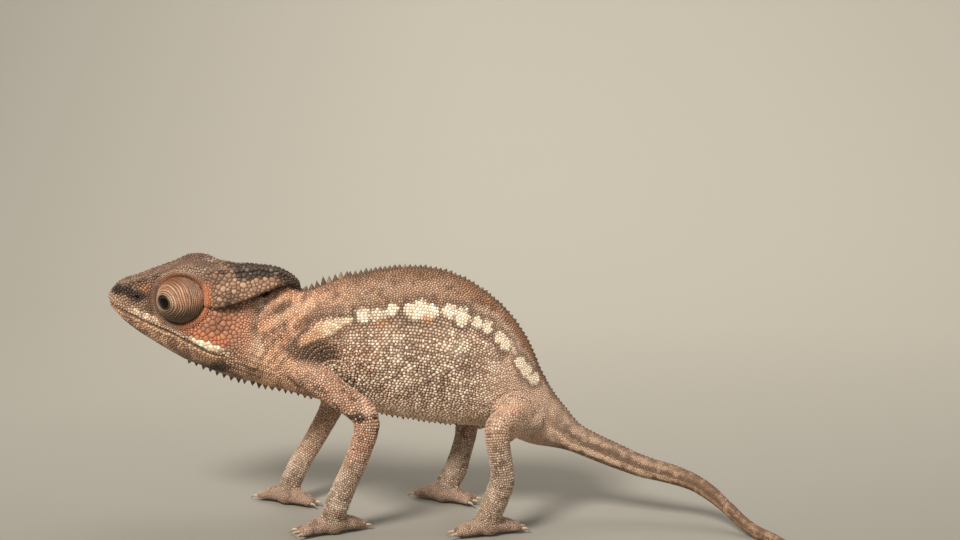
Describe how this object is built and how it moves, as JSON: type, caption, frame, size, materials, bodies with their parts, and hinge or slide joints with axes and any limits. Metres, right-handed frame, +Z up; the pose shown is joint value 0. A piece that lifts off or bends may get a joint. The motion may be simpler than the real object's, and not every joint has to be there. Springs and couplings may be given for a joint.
{
  "type": "panther chameleon",
  "caption": "Life-size still model of a young panther chameleon standing with arched back, helmet-like casque, spiny crest and a tail that curls on the floor.",
  "frame": {"origin": "on the floor under the middle of the whole animal's box, where the model stands", "axes": "+X from head to tail, +Y to the animal's right, +Z up"},
  "size_m": [0.1424, 0.0604, 0.0571],
  "materials": {
    "skin": "dry granular scales, brown with cream and rust markings",
    "limb_skin": "dry granular scales, tan",
    "eyelid": "fine ring folds",
    "eye": "wet gloss"
  },
  "bodies": {
    "root": {"head": "skin", "lower_jaw": "skin", "neck": "skin", "torso": "skin", "tail_base": "skin", "tail_middle": "skin", "tail_end": "skin", "tail_tip": "skin", "eyelid_left": "eyelid", "eyelid_right": "eyelid", "eye_left": "eye", "eye_right": "eye", "fore_left_upper": "limb_skin", "fore_left_lower": "limb_skin", "fore_left_foot": "limb_skin", "fore_right_upper": "limb_skin", "fore_right_lower": "limb_skin", "fore_right_foot": "limb_skin", "hind_left_upper": "limb_skin", "hind_left_lower": "limb_skin", "hind_left_foot": "limb_skin", "hind_right_upper": "limb_skin", "hind_right_lower": "limb_skin", "hind_right_foot": "limb_skin"}
  },
  "joints": []
}
